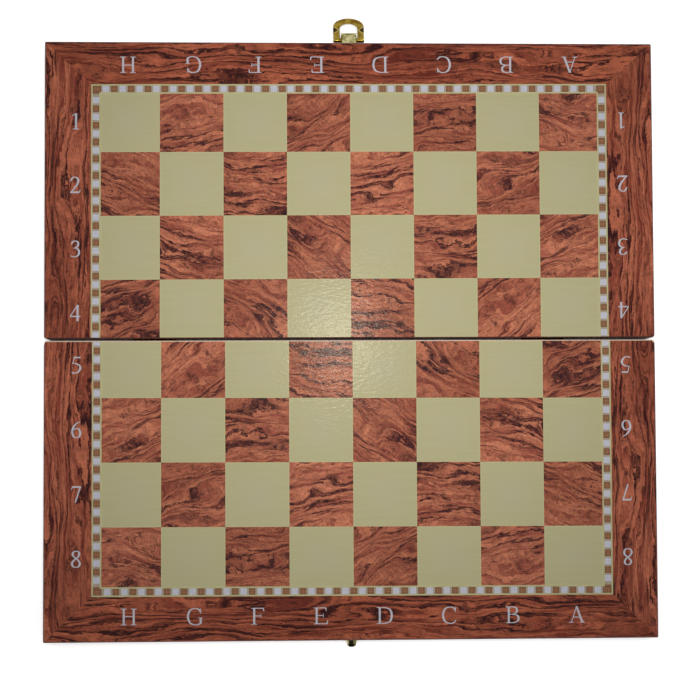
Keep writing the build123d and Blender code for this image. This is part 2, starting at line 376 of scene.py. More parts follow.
def printed(name):
    """A material for what is printed: its colour comes later, its clear coat's bump is here."""
    material, tree, sockets = surface(
        name, Roughness=lacquer_roughness, Specular_IOR_Level=lacquer_mirror
    )
    height = place_group(tree, sprayed_lacquer, {"Vector": own_place(tree)})["Height"]
    raise_surface(tree, sockets, height, lacquer_relief)
    return material, tree, sockets["Base Color"]


def printed_veneer(name, amounts, light, dark, vein):
    """Lacquered print of rosewood, laid out by the map named veneer."""
    material, tree, base = printed(name)
    settings = dict(zip(("Rings", "Ripple", "Vein amount", "Line amount"), amounts))
    settings |= {"Light": colour(*light), "Dark": colour(*dark), "Vein": colour(*vein)}
    settings |= {"Vector": mapped(tree, "veneer")}
    tree.links.new(place_group(tree, veneer_figure, settings)["Color"], base)
    return material


def printed_plain(name, first, second, size):
    """Lacquered print of one colour, with faint streaks of a second one."""
    material, tree, base = printed(name)
    streaks = step(tree, noise(tree, own_place(tree), size, 4.0, 0.6), 0.35, 0.65)
    tree.links.new(blend(tree, streaks, first, second), base)
    return material


def printed_maple():
    """Lacquered print of pale wood: each square has faint streaks, a greyer middle and a thin
    yellow edge, laid out by the map named square, which runs from -1 to 1."""
    material, tree, base = printed("maple_squares")
    inside = split(tree, mapped(tree, "square"))
    reach = maths(tree, "MAXIMUM", size_of(tree, inside["X"]), size_of(tree, inside["Y"]))
    streaks = step(tree, noise(tree, own_place(tree), (22, 1.1, 5), 4.0, 0.6), 0.35, 0.65)
    wood = blend(tree, streaks, colour(183, 177, 137), colour(181, 174, 133))
    wood = blend(tree, step(tree, reach, 0.1, 0.8), colour(183, 176, 141), wood)
    wood = blend(tree, step(tree, reach, 0.955, 0.985), wood, colour(188, 183, 138))
    tree.links.new(wood, base)
    return material


def hatched_brown():
    """Lacquered print of a brown block, laid out by the map named square: a dark rim round a fine
    cross-hatch, whose light is the sine of two turns across times the sine of two turns along."""
    material, tree, base = printed("brown_blocks")
    inside = split(tree, mapped(tree, "square"))
    across, along = (size_of(tree, inside[axis]) for axis in "XY")
    waves = [maths(tree, "SINE", times(tree, share, 2 * pi)) for share in (across, along)]
    cells = size_of(tree, times(tree, *waves))
    brown = blend(tree, step(tree, cells, 0.0, 0.6), colour(102, 64, 42), colour(168, 120, 88))
    rim = step(tree, maths(tree, "MAXIMUM", across, along), 0.66, 0.9)
    tree.links.new(blend(tree, rim, brown, colour(108, 72, 46)), base)
    return material


# Amounts of rings, ripple, veins and lines, then the light, the dark and the vein's colour.
rosewood_squares = printed_veneer(
    "rosewood_squares", (1.15, 0.45, 1.5, 0.9), (190, 116, 87), (141, 72, 57), (50, 21, 25)
)
rosewood_frame = printed_veneer(
    "rosewood_frame", (1.6, 0.4, 1.65, 1.0), (179, 101, 74), (118, 51, 38), (48, 14, 14)
)
rosewood_edge = printed_veneer(
    "rosewood_edge", (1.8, 0.3, 1.7, 1.0), (178, 97, 69), (114, 48, 35), (42, 11, 12)
)
maple_squares = printed_maple()
brown_blocks = hatched_brown()
olive_lines = printed_plain("olive_lines", colour(190, 182, 138), colour(180, 172, 128), (8, 8, 5))
white_blocks = printed_plain(
    "white_blocks", colour(198, 197, 206), colour(188, 187, 198), (1.2, 0.6, 5)
)
block_gaps = printed_plain("block_gaps", colour(174, 158, 138), colour(160, 146, 130), (1, 1, 5))
pale_ink = printed_plain("pale_ink", colour(196, 193, 200), colour(184, 181, 189), (3, 3, 3))


def build_wood_grain_group():
    """Straight-grained wood on its own coordinates: long fibres, slow tone and short pores."""
    tree, given, out = shader_group(
        "straight_grain",
        {"Vector": "Vector", "Light": "Color", "Dark": "Color", "Pores": "Float"},
        {"Color": "Color", "Height": "Float"},
    )
    place = given["Vector"]
    fibres = noise(tree, place, (34, 0.9, 0.9), 4.0, 0.6, 0.3)
    tone = noise(tree, place, (90, 7, 7), 2.0, 0.5, 0.5)
    shade = maths(tree, "MULTIPLY_ADD", fibres, 0.6, times(tree, tone, 0.5))
    pores = step(tree, noise(tree, place, (4, 0.28, 0.28), 1.0), 0.60, 0.72)
    wood = blend(tree, step(tree, shade, 0.35, 0.75), given["Dark"], given["Light"])
    pitted = times(tree, pores, given["Pores"])
    tree.links.new(blend(tree, pitted, wood, given["Dark"]), out["Color"])
    tree.links.new(minus(tree, fibres, times(tree, pitted, 0.8)), out["Height"])
    return tree


straight_grain = build_wood_grain_group()


def stained_wood(name, along_y=False):
    """Dark stained and lacquered rail, with end grain on the faces across the grain."""
    material, tree, sockets = surface(name, Roughness=0.34, IOR=1.45)
    place = own_place(tree)
    along = place
    if along_y:
        turned = {"Vector": place, "Rotation": (0, 0, radians(90))}
        along = add(tree, "ShaderNodeMapping", turned).outputs[0]
    wood = {"Vector": along, "Light": colour(112, 54, 38), "Dark": colour(62, 28, 22), "Pores": 0.7}
    grain = place_group(tree, straight_grain, wood)
    end = step(tree, size_of(tree, facing(tree)["Y" if along_y else "X"]), 0.6, 0.9)
    pitch = step(tree, noise(tree, place, (0.9, 0.9, 2.4), 3.0), 0.35, 0.65)
    end_grain = blend(tree, pitch, colour(50, 22, 18), colour(84, 40, 28))
    tree.links.new(blend(tree, end, grain["Color"], end_grain), sockets["Base Color"])
    raise_surface(tree, sockets, grain["Height"], 0.03 * mm)
    return material


def panel_board():
    """The board under the print: stained at the outer edges, and pale where the near one is eased
    at the seam, on faces that look up within 2 to 3 mm of it."""
    material, tree, sockets = surface("panel_board", Roughness=0.5)
    place = own_place(tree)
    wood = {"Vector": place, "Light": colour(96, 46, 34), "Dark": colour(54, 25, 21), "Pores": 0.4}
    stained = place_group(tree, straight_grain, wood)["Color"]
    wood |= {"Light": colour(246, 222, 196), "Dark": colour(228, 198, 170), "Pores": 0.1}
    pale_seam_wood = place_group(tree, straight_grain, wood)["Color"]
    from_seam = minus(tree, split(tree, place)["Y"], seam_y)
    near_side = maths(tree, "LESS_THAN", from_seam, 0.0)
    by_seam = minus(tree, 1.0, step(tree, size_of(tree, from_seam), 2 * mm, 3 * mm))
    pale_seam_share = times(tree, by_seam, near_side, step(tree, facing(tree)["Z"], 0.2, 0.5))
    tree.links.new(blend(tree, pale_seam_share, stained, pale_seam_wood), sockets["Base Color"])
    return material


def felt():
    """Flocked lining: short fibres in all directions, with a soft sheen."""
    fluff = {"Roughness": 0.95, "Sheen_Weight": 0.4, "Sheen_Roughness": 0.5}
    material, tree, sockets = surface("felt_lining", **fluff)
    place = own_place(tree)
    fibres = noise(tree, place, (0.35, 0.35, 0.35), 3.0, 0.7, 1.0)
    patches = noise(tree, place, (12, 12, 12), 2.0)
    shade = blend(tree, step(tree, fibres, 0.3, 0.7), colour(18, 56, 38), colour(34, 88, 60))
    shade = blend(tree, step(tree, patches, 0.3, 0.8), shade, colour(26, 72, 50))
    tree.links.new(shade, sockets["Base Color"])
    raise_surface(tree, sockets, fibres, 0.3 * mm, 0.8)
    return material


def build_worn_brass_group():
    """Plated brass: cloudy tarnish, rubbed scratches along X and a matching roughness."""
    tree, given, out = shader_group(
        "worn_brass",
        {"Vector": "Vector", "Bright": "Color", "Dull": "Color"},
        {"Color": "Color", "Roughness": "Float", "Height": "Float"},
    )
    place = given["Vector"]
    clouds = noise(tree, place, (3.2, 3.2, 3.2), 4.0, 0.6)
    scratches = noise(tree, place, (5, 0.12, 0.12), 2.0, 0.6, 0.4)
    tarnish = step(tree, clouds, 0.38, 0.68)
    tree.links.new(blend(tree, tarnish, given["Bright"], given["Dull"]), out["Color"])
    rough = maths(tree, "MULTIPLY_ADD", tarnish, 0.18, times(tree, scratches, 0.36))
    tree.links.new(rough, out["Roughness"])
    tree.links.new(scratches, out["Height"])
    return tree


worn_brass = build_worn_brass_group()


def from_lines(tree, place, x, y):
    """How far a place lies from a line at x, to either side, and how far past a line at y."""
    place = split(tree, place)
    return size_of(tree, minus(tree, place["X"], x)), minus(tree, place["Y"], y)


def crease_shade_and_highlight(tree, place, tone):
    """Painted shade in the triangles pressed into the loop's legs, with painted highlights on their
    lips: a triangle is where the way outwards from its point, times its taper, still exceeds the
    way from its middle line."""
    middle_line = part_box("hasp_loop")[0].y + 7.7 * mm
    point = 5.9 * mm
    taper = 0.68
    across, along = from_lines(tree, place, 0.0, middle_line)
    inside = times(tree, minus(tree, across, point), taper)
    inside = minus(tree, inside, size_of(tree, along))
    # Painted highlight on the lips of each triangle.
    tone = blend(tree, step(tree, inside, -0.8 * mm, -0.3 * mm), tone, colour(188, 170, 104))
    # Painted shade inside each triangle.
    return blend(tree, step(tree, inside, -0.25 * mm, 0.15 * mm), tone, colour(66, 46, 18))


def fold_edge_shade(tree, place, tone):
    """A dark olive line of painted shade round the tongue's sides and its folded end, on a
    squared-off oval, whose reach is the fourth root of the sum of the fourth powers of the two
    shares of its half size."""
    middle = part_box("hasp_plate")[1].y - 5.2 * mm
    half_width, half_length = 4.5 * mm, 4.3 * mm
    across, along = from_lines(tree, place, 0.0, middle)
    across = maths(tree, "DIVIDE", across, half_width)
    along = maths(tree, "DIVIDE", maths(tree, "MAXIMUM", along, 0.0), half_length)
    powers = [maths(tree, "POWER", share, 4.0) for share in (across, along)]
    reach = maths(tree, "POWER", plus(tree, *powers), 0.25)
    line = times(tree, step(tree, reach, 0.80, 0.90), step(tree, reach, 1.04, 0.94))
    # Painted shade along the line round the tongue.
    return blend(tree, line, tone, colour(92, 88, 34))


def hook_shade_and_sheen(tree, place, tone):
    """Painted shade down the middle of the catch's hook, with a painted highlight on its pale side
    and a painted sheen on its olive one.
    """
    side = split(tree, place)["X"]
    from_middle, _ = from_lines(tree, place, -0.3 * mm, 0.0)
    # Painted olive sheen on one side of the hook.
    tone = blend(tree, step(tree, side, -0.2 * mm, 1.0 * mm), tone, colour(112, 110, 66))
    # Painted shade down the middle of the hook.
    return blend(tree, step(tree, from_middle, 1.8 * mm, 1.0 * mm), tone, colour(34, 32, 16))


def brass(name, bright, dull, marks=None):
    """Worn brass of two tones, with the painted shade and highlights of one part, given as marks,
    on it.
    """
    material, tree, sockets = surface(name, Metallic=1.0)
    place = own_place(tree)
    metal = place_group(tree, worn_brass, {"Vector": place, "Bright": bright, "Dull": dull})
    tone = marks(tree, place, metal["Color"]) if marks else metal["Color"]
    tree.links.new(tone, sockets["Base Color"])
    tree.links.new(metal["Roughness"], sockets["Roughness"])
    raise_surface(tree, sockets, metal["Height"], 0.01 * mm)
    return material


# ---- the print, as thin tiles that fill the playing sheet ----


def down(half, depth):
    """The y of a line this far in from the outer edge of a half's panel."""
    outwards = half["outwards"]
    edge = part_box("far_panel")[1].y if outwards > 0 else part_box("near_panel")[0].y
    return edge - outwards * depth


def rows_of(half, spans):
    """Rectangles given by x and by depth from the outer edge, as rows of x0, x1, y0, y1."""
    spans = np.asarray(spans, float)
    y = np.sort(down(half, spans[:, 2:]), axis=1)
    return np.hstack([spans[:, :2], y])


def skewed(half, points):
    """The print's slant: y grows with x times the skew, except where the print is cut off, at the
    seam and within a millimetre of the sheet's outer edge."""
    edge, seam = sheet_depths(half)
    depth = np.abs(points[:, 1] - down(half, 0))
    slanted = depth - half["outwards"] * half["skew"] * points[:, 0]
    cut_off = (depth <= edge + mm) | (depth >= seam - 0.01 * mm)
    points[:, 1] = down(half, np.where(cut_off, depth, np.minimum(slanted, seam)))
    return points


def tiles(name, half, spans, material):
    """One piece of print on all these rectangles, as thick as the playing sheet."""
    points, faces = boxes(rows_of(half, spans), sheet_low, sheet_high)
    piece = mesh_object(name, skewed(half, points), faces, material, half["body"])
    return piece


def sheet_depths(half):
    """Depths of the playing sheet's outer edge and of its edge at the seam."""
    if half["outwards"] > 0:
        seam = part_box("far_playing_sheet")[0].y
    else:
        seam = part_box("near_playing_sheet")[1].y
    return face_ease, abs(down(half, 0) - seam)


def square_spans(half, dark):
    """Where the dark or the light squares of a half lie, cropped by the border and the seam."""
    seam = sheet_depths(half)[1]
    inner_lines = half["middle"] + square_wide * np.arange(1 - files / 2, files / 2)
    across = [half["middle"] - half_inner, *inner_lines, half["middle"] + half_inner]
    start = half["margin"] + border_width
    deep = [start, *(start + end_square + square_deep * np.arange(3)), seam]
    spans = []
    for row in range(ranks // 2):
        rank = half["first_rank"] + half["outwards"] * row
        for file in range(files)[:: half["outwards"]]:
            if (rank + file) % 2 == (0 if dark else 1):
                spans.append((across[file], across[file + 1], deep[row], deep[row + 1]))
    return spans


def corners_of(piece, count):
    """The points of a piece of tiles, from the middle of each tile, as tile, point, x and y."""
    points = np.empty(len(piece.data.vertices) * 3)
    piece.data.vertices.foreach_get("co", points)
    points = points.reshape(count, -1, 3)[:, :, :2]
    return points - points.mean(1, keepdims=True)


def veneer_places(local, seed=5):
    """Each square is cut from its own place on the veneer, tilted, and now and then flipped."""
    random = np.random.default_rng(seed)
    count = len(local)
    tilt = np.radians(random.normal(0, veneer_tilt, count))
    flip = random.choice([-1.0, 1.0], count)
    turn = np.array([[np.cos(tilt), -np.sin(tilt)], [np.sin(tilt) * flip, np.cos(tilt) * flip]])
    cut_from = random.uniform(-veneer_reach, veneer_reach, (count, 1, 2))
    places = np.einsum("ijn,nkj->nki", turn, local) + cut_from
    return places.reshape(-1, 2)


def set_square_map(piece, count):
    """Lay the map named square over each tile of a piece, from -1 to 1 both ways."""
    local = corners_of(piece, count)
    set_map(piece, "square", (local / np.abs(local).max(1, keepdims=True)).reshape(-1, 2))


def squares(name, half):
    """The dark and the light squares of one half, with small differences from square to square."""
    spans = square_spans(half, True)
    dark = tiles(f"{name}_dark_squares", half, spans, rosewood_squares)
    set_map(dark, "veneer", veneer_places(corners_of(dark, len(spans)) * half["outwards"]))
    spans = square_spans(half, False)
    light = tiles(f"{name}_light_squares", half, spans, maple_squares)
    set_square_map(light, len(spans))
    return [dark, light]


def border_lines(name, half):
    """Two olive lines round three sides of the squares, with the row of blocks between them."""
    seam = sheet_depths(half)[1]
    spans = []
    outer = (half["margin"], half_outer)
    inner = (half["margin"] + border_width - line_width, half_inner + line_width)
    for start, reach in (outer, inner):
        left, right = half["middle"] - reach, half["middle"] + reach
        spans.append((left, left + line_width, start, seam))
        spans.append((right - line_width, right, start, seam))
        spans.append((left + line_width, right - line_width, start, start + line_width))
    return tiles(f"{name}_border_lines", half, spans, olive_lines)


def blocks_at(kind, middles, width):
    """Blocks in a row, each given as its kind, its start and its end."""
    return [(kind, middle - width / 2, middle + width / 2) for middle in middles]


def with_gaps(blocks):
    """A row of blocks in order, and after them the gaps between neighbours."""
    blocks = sorted(blocks, key=lambda block: block[1])
    return blocks + [("gap", before[2], after[1]) for before, after in zip(blocks, blocks[1:])]


def border_blocks(name, half):
    """White and brown blocks along the border, with soft gaps between them."""
    seam = sheet_depths(half)[1]
    start = half["margin"] + line_width
    reach = half_outer - line_width
    left, right = half["middle"] - reach, half["middle"] + reach
    kinds = {"white": [], "brown": [], "gap": []}

    whites = block_pitch * (np.arange(whites_across) - (whites_across - 1) / 2)
    whites += half["middle"] + half["row_shift"]
    row = [("brown", left, left + corner_block), ("brown", right - corner_block, right)]
    row += blocks_at("white", whites, white_block)
    row += blocks_at("brown", whites[:-1] + block_pitch / 2, brown_block)
    for kind, low, high in with_gaps(row):
        kinds[kind].append((low, high, start, start + block_width))

    depths = np.arange(start + first_white, seam + block_pitch, block_pitch)
    side = [("brown", start + block_width, start + corner_block)]
    side += blocks_at("white", depths, white_block)
    side += blocks_at("brown", depths + block_pitch / 2, brown_block)
    for x0, x1 in ((left, left + block_width), (right - block_width, right)):
        for kind, low, high in with_gaps(side):
            if low < seam:
                kinds[kind].append((x0, x1, low, min(high, seam)))

    white = tiles(f"{name}_white_blocks", half, kinds["white"], white_blocks)
    brown = tiles(f"{name}_brown_blocks", half, kinds["brown"], brown_blocks)
    set_square_map(brown, len(kinds["brown"]))
    gaps = tiles(f"{name}_block_gaps", half, kinds["gap"], block_gaps)
    return [white, brown, gaps]


def quarter_circle(x, y, radius):
    """Points on a quarter circle: its middle plus the radius times the turn's cosine and sine."""
    turn = np.radians(np.linspace(0, 90, 6))
    return np.stack([x + radius * np.cos(turn), y + radius * np.sin(turn)], 1)


def frame_sides(name, half):
    """Three mitred lengths of frame between the border and the edge of the sheet."""
    edge, seam = sheet_depths(half)
    margin = half["margin"]
    tip = edge_radius * (1 - np.sqrt(0.5))  # how far the mitre's end lies in from both edges
    pieces = []
    for label, sign in (("left", -1), ("right", 1))[:: half["outwards"]]:
        border = half["middle"] + sign * half_outer
        corner = quarter_circle(sheet_side - seam_radius, seam - seam_radius, seam_radius)
        outline = [(border, margin), (sign * (sheet_side - tip), edge + tip)]
        outline += [(sign * sheet_side, edge + edge_radius)]
        outline += [(sign * x, depth) for x, depth in corner]
        outline += [(border, seam)]
        pieces.append((f"{name}_frame_{label}", outline, True))
    left, right = half["middle"] - half_outer, half["middle"] + half_outer
    outline = [
        (left, margin),
        (right, margin),
        (sheet_side - tip, edge + tip),
        (sheet_side - edge_radius, edge),
        (edge_radius - sheet_side, edge),
        (tip - sheet_side, edge + tip),
    ]
    pieces.append((f"{name}_frame_edge", outline, False))
    made = []
    for number, (label, outline, along_y) in enumerate(pieces):
        outline = np.array(outline)
        outline[:, 1] = down(half, outline[:, 1])
        points, faces = prism(outline, sheet_low, sheet_high)
        wood = rosewood_frame if along_y else rosewood_edge
        piece = mesh_object(label, skewed(half, points), faces, wood, half["body"])
        along_and_across = points[:, [1, 0] if along_y else [0, 1]]
        places = half["outwards"] * along_and_across * frame_draw
        set_map(piece, "veneer", places + frame_step * (number + 1))
        made.append(piece)
    return made


# ---- letters and figures, drawn on a height of 1 ----

stem_width = 0.125
hairline = 0.05
tick = 0.035  # the thinnest upright
serif_reach = 0.125  # stem's edge to the end of its serif
serif_thickness = 0.03
bracket = 0.07  # height of the serif's bracket
stress = 1.3  # how soon a stroke thins as it turns level
taper_share = 0.15  # how much of a stroke narrows at each end


def bar(start, end, width):
    """A straight stroke, cut level at both ends; the width is measured level."""
    (x0, y0), (x1, y1) = start, end
    reach = width / 2
    return [[(x0 - reach, y0), (x0 + reach, y0), (x1 + reach, y1), (x1 - reach, y1)]]


def level(x0, x1, y, thickness=hairline):
    """A level stroke."""
    low, high = y - thickness / 2, y + thickness / 2
    return [[(x0, low), (x1, low), (x1, high), (x0, high)]]


def serif(x, y, width=stem_width, reach=serif_reach):
    """A bracketed serif at the foot of a stroke, or at its head where y is 1.  Its bracket swings
    from the tip to the stroke: the shares of tip, bend and root are the squares of what is left
    and of what is gone, and twice their product for the bend."""
    up = 1 if y < 0.5 else -1
    swing = np.linspace(0, 1, 5)[:, None]
    tip = np.array([width / 2 + reach, serif_thickness])
    root = np.array([width / 2, serif_thickness + bracket])
    bend = np.array([width / 2, serif_thickness])
    swung = (1 - swing) ** 2 * tip + 2 * swing * (1 - swing) * bend + swing**2 * root
    right = np.vstack([[(tip[0], 0)], swung])
    left = right[::-1] * (-1, 1)
    return [(np.vstack([right, left]) * (1, up) + (x, y)).tolist()]


def stem(x, high=1.0, head=True):
    """An upright with a serif at its foot and, unless it has none, at its head."""
    return bar((x, 0.0), (x, high), stem_width) + serif(x, 0.0) + (serif(x, high) if head else [])


def curve(points, closed=False, thick=stem_width, taper=(1.0, 1.0)):
    """A pen stroke: a Catmull-Rom line through the points, as wide as a hairline plus the rest
    times the line's rise over its length, to the power of the stress, and narrowed at the ends
    to its taper.  It comes as a strip of quads."""
    points = np.asarray(points, float)
    if closed:
        knots = np.vstack([points[-1:], points, points[:2]])
    else:
        knots = np.vstack([2 * points[0] - points[1], points, 2 * points[-1] - points[-2]])
    share = np.arange(6)[:, None] / 6  # six steps from point to point
    a, b, c, d = (knots[i : len(knots) - 3 + i, None] for i in range(4))
    line = 2 * b + (c - a) * share + (2 * a - 5 * b + 4 * c - d) * share**2
    line = (line + (3 * b - 3 * c + d - a) * share**3) / 2
    line = line.reshape(-1, 2)
    line = np.vstack([line, points[:1] if closed else points[-1:]])
    if closed:
        tangent = np.roll(line[:-1], -1, 0) - np.roll(line[:-1], 1, 0)
        tangent = np.vstack([tangent, tangent[:1]])
    else:
        tangent = np.gradient(line, axis=0)
    tangent /= np.linalg.norm(tangent, axis=1)[:, None]
    width = hairline + (thick - hairline) * np.abs(tangent[:, 1]) ** stress
    full = [0, taper_share, 1 - taper_share, 1]
    ends = np.interp(np.linspace(0, 1, len(line)), full, [taper[0], 1, 1, taper[1]])
    side = np.stack([-tangent[:, 1], tangent[:, 0]], 1) * (width * ends / 2)[:, None]
    left, right = line + side, line - side
    return [quad.tolist() for quad in np.stack([left[:-1], left[1:], right[1:], right[:-1]], 1)]


def wedge(x, y, height):
    """The small upright tick that ends an arm, pointing up for a positive height."""
    left, right, top = x - hairline * 0.5, x + hairline * 0.3, y + height
    return [[(x - abs(height) * 0.45, y), (x, y), (right, top), (left, top)]]


open_bowl = [(0.84, 0.76), (0.76, 0.91), (0.53, 0.99), (0.22, 0.88), (0.08, 0.50), (0.22, 0.12)]

characters = {
    "A": bar((0.17, 0), (0.50, 1), hairline * 1.1)
    + bar((0.85, 0), (0.49, 1), stem_width * 1.08)
    + level(0.27, 0.72, 0.34)
    + serif(0.17, 0, hairline, 0.13)
    + serif(0.85, 0, stem_width, 0.09),
    "B": stem(0.19)
    + curve([(0.20, 0.975), (0.46, 0.975), (0.66, 0.89), (0.67, 0.67), (0.47, 0.545), (0.20, 0.53)])
    + curve([(0.20, 0.53), (0.50, 0.52), (0.75, 0.42), (0.76, 0.15), (0.52, 0.025), (0.20, 0.025)]),
    "C": curve(open_bowl + [(0.53, 0), (0.74, 0.05), (0.88, 0.20)], taper=(0.6, 0.4))
    + bar((0.85, 0.68), (0.85, 1), tick),
    "D": stem(0.19)
    + curve(
        [(0.20, 0.975), (0.52, 0.97), (0.82, 0.84), (0.92, 0.50)]
        + [(0.82, 0.16), (0.52, 0.03), (0.20, 0.025)]
    ),
    "E": stem(0.19)
    + level(0.19, 0.76, 0.98)
    + level(0.19, 0.60, 0.52)
    + level(0.19, 0.84, 0.02)
    + wedge(0.78, 0.98, -0.19)
    + wedge(0.86, 0.02, 0.21)
    + bar((0.60, 0.40), (0.60, 0.64), tick),
    "F": stem(0.19)
    + level(0.19, 0.76, 0.98)
    + level(0.19, 0.60, 0.52)
    + wedge(0.78, 0.98, -0.19)
    + bar((0.60, 0.40), (0.60, 0.64), tick),
    "G": curve(open_bowl + [(0.53, 0), (0.72, 0.03), (0.86, 0.10)], taper=(0.6, 1))
    + bar((0.85, 0.68), (0.85, 1), tick)
    + bar((0.85, 0.07), (0.85, 0.42), stem_width)
    + level(0.68, 0.99, 0.42, serif_thickness),
    "H": stem(0.22) + stem(0.82) + level(0.22, 0.82, 0.52),
    "1": stem(0.30, 0.96, head=False) + curve([(0.08, 0.86), (0.20, 0.92), (0.33, 1)], thick=0.06),
    "2": curve(
        [(0.09, 0.72), (0.17, 0.90), (0.33, 0.985), (0.52, 0.88), (0.54, 0.68), (0.40, 0.40)]
        + [(0.10, 0.05)],
        taper=(0.4, 0.5),
    )
    + level(0.06, 0.62, 0.05, 0.10)
    + bar((0.60, 0.02), (0.68, 0.22), 0.05),
    "3": curve(
        [(0.10, 0.80), (0.20, 0.94), (0.34, 0.985), (0.50, 0.90), (0.50, 0.70), (0.37, 0.58)]
        + [(0.22, 0.54)],
        taper=(0.5, 0.6),
    )
    + curve(
        [(0.22, 0.545), (0.44, 0.52), (0.57, 0.34), (0.50, 0.10), (0.28, 0.01), (0.06, 0.07)],
        taper=(0.6, 0.7),
    ),
    "4": bar((0.50, 0), (0.50, 0.99), stem_width)
    + bar((0.48, 0.96), (0.07, 0.32), hairline * 1.3)
    + level(0.05, 0.68, 0.29, 0.075),
    "5": level(0.19, 0.60, 0.95, 0.09)
    + bar((0.13, 0.56), (0.22, 0.97), hairline)
    + curve(
        [(0.13, 0.585), (0.34, 0.57), (0.55, 0.44), (0.57, 0.24), (0.42, 0.05), (0.22, 0)]
        + [(0.06, 0.06)],
        taper=(0.7, 0.7),
    ),
    "6": curve(
        [(0.58, 0.98), (0.34, 0.86), (0.14, 0.60), (0.09, 0.32), (0.18, 0.07), (0.34, 0.01)]
        + [(0.51, 0.08), (0.57, 0.30), (0.48, 0.52), (0.34, 0.57), (0.13, 0.46)],
        taper=(0.4, 0.5),
    ),
    "7": level(0.09, 0.62, 0.935, 0.10)
    + bar((0.28, 0), (0.58, 0.95), 0.09)
    + bar((0.05, 0.76), (0.10, 0.96), 0.045),
    "8": curve(
        [(0.33, 0.985), (0.16, 0.91), (0.12, 0.75), (0.28, 0.57), (0.47, 0.41), (0.55, 0.22)]
        + [(0.46, 0.05), (0.32, 0.01), (0.14, 0.07), (0.08, 0.24), (0.17, 0.41), (0.35, 0.54)]
        + [(0.50, 0.74), (0.48, 0.92)],
        closed=True,
    ),
}


def turns_left(polygon):
    """Whether a polygon runs anticlockwise: its shoelace sum is above zero."""
    x, y = np.array(polygon).T
    return np.sum(x * np.roll(y, -1) - y * np.roll(x, -1)) > 0


def merged(polygons):
    """The union of overlapping polygons, as points and triangles that run anticlockwise."""
    polygons = [polygon if turns_left(polygon) else polygon[::-1] for polygon in polygons]
    points = [point for polygon in polygons for point in polygon]
    ends = np.cumsum([len(polygon) for polygon in polygons])
    loops = [list(range(end - len(polygon), end)) for polygon, end in zip(polygons, ends)]
    inside_only, closeness = 1, 1e-5
    points = [Vector(point) for point in points]
    found = delaunay_2d_cdt(points, [], loops, inside_only, closeness)
    flat = np.array([point[:] for point in found[0]])
    corners = np.array([face for face, inside in zip(found[2], found[5]) if inside])
    a, b, c = (flat[corners[:, i]] for i in range(3))
    turn = (b[:, 0] - a[:, 0]) * (c[:, 1] - a[:, 1]) - (b[:, 1] - a[:, 1]) * (c[:, 0] - a[:, 0])
    corners[turn < 0] = corners[turn < 0][:, ::-1]
    return flat, corners


def inked(flat, corners, low, high):
    """A closed plate on merged triangles, with a wall on each edge that only one triangle has."""
    count = len(flat)
    edges = np.vstack([corners[:, [0, 1]], corners[:, [1, 2]], corners[:, [2, 0]]])
    key = edges[:, 0] * count + edges[:, 1]
    other = edges[:, 1] * count + edges[:, 0]
    rim = edges[~np.isin(key, other)]
    walls = np.stack([rim[:, 0], rim[:, 1], rim[:, 1] + count, rim[:, 0] + count], 1)
    points = np.vstack([np.c_[flat, np.full(count, low)], np.c_[flat, np.full(count, high)]])
    return points, [*corners[:, ::-1], *(corners + count), *walls]


def lettering(name, half, placed):
    """Characters in one piece, each given as its name, its middle and whether it is turned."""
    points, faces, count = [], [], 0
    for character, x, y, turned in placed:
        flat, corners = merged(characters[character])
        middle = (flat.min(0) + flat.max(0)) / 2
        size = character_height * (-1 if turned else 1)
        flat = (flat - (middle[0], 0.5)) * size + (x, y + half["skew"] * x)
        more, loops = inked(flat, corners, sheet_high - ink_root, sheet_high + ink_thickness)
        points.append(more)
        faces += [[index + count for index in face] for face in loops]
        count += len(more)
    piece = mesh_object(name, np.vstack(points), faces, pale_ink, half["body"])
    return piece


def half_lettering(name, half):
    """Letters along the outer edge and figures down both sides; the far letters and the right-hand
    figures are upside down."""
    upside_down = half["outwards"] > 0
    middle = half["middle"]
    y = down(half, half["margin"] - letter_standoff)
    letters = []
    for number, letter in enumerate("HGFEDCBA"):
        x = middle + square_wide * (number - (files - 1) / 2) + letter_shift.get(letter, 0)
        letters.append((letter, x, y, upside_down))
    figures = []
    first = half["margin"] + border_width + end_square - square_deep / 2 + figure_drop
    for row in range(ranks // 2):
        rank = str(half["first_rank"] + half["outwards"] * row)
        y = down(half, first + row * square_deep)
        figures.append((rank, middle - half_outer - character_standoff, y, False))
        figures.append((rank, middle + half_outer + character_standoff, y, True))
    kinds = {"letters": letters, "figures": figures}
    return [lettering(f"{name}_{kind}", half, placed) for kind, placed in kinds.items()]


for name, half in halves.items():
    print_pieces = squares(name, half) + [border_lines(name, half)] + border_blocks(name, half)
    print_pieces += frame_sides(name, half) + half_lettering(name, half)
    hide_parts(f"{name}_playing_sheet")


# ---- finishes of the parts that stay as they were built ----


def finish_node(node, material):
    """Give a part its material."""
    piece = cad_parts[node]
    for place in piece.material_slots:
        place.material = material


long_rail_wood = stained_wood("stained_rail_long")
side_rail_wood = stained_wood("stained_rail_side", along_y=True)
board = panel_board()
green_felt = felt()
plate_brass = brass("plate_brass", colour(204, 182, 116), colour(146, 120, 62))
# The loop's brass is darker and the tongue's and the hook's paler than the plates': painted shade
# and painted highlight on one brass.
finishes = {
    "hasp_loop": brass("loop_brass_painted_dark", colour(154, 132, 54), colour(112, 78, 24), crease_shade_and_highlight),
    "hasp_plate": brass("tongue_brass_painted_pale", colour(206, 198, 146), colour(132, 124, 72), fold_edge_shade),
    "catch_plate": brass("hook_brass_painted_pale", colour(206, 198, 168), colour(170, 156, 110), hook_shade_and_sheen),
}

for half in halves:
    finish_node(f"{half}_panel", board)
    finish_node(f"{half}_lining", green_felt)
    for rail in ("hinge_rail", "latch_rail"):
        finish_node(f"{half}_{rail}", long_rail_wood)
    for rail in ("left_rail", "right_rail"):
        finish_node(f"{half}_{rail}", side_rail_wood)

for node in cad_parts:
    if "hinge_" in node and "rail" not in node or node.startswith(("hasp", "catch")):
        finish_node(node, finishes.get(node, plate_brass))


# ---- floor, light and camera ----

ambient_level = 0.37


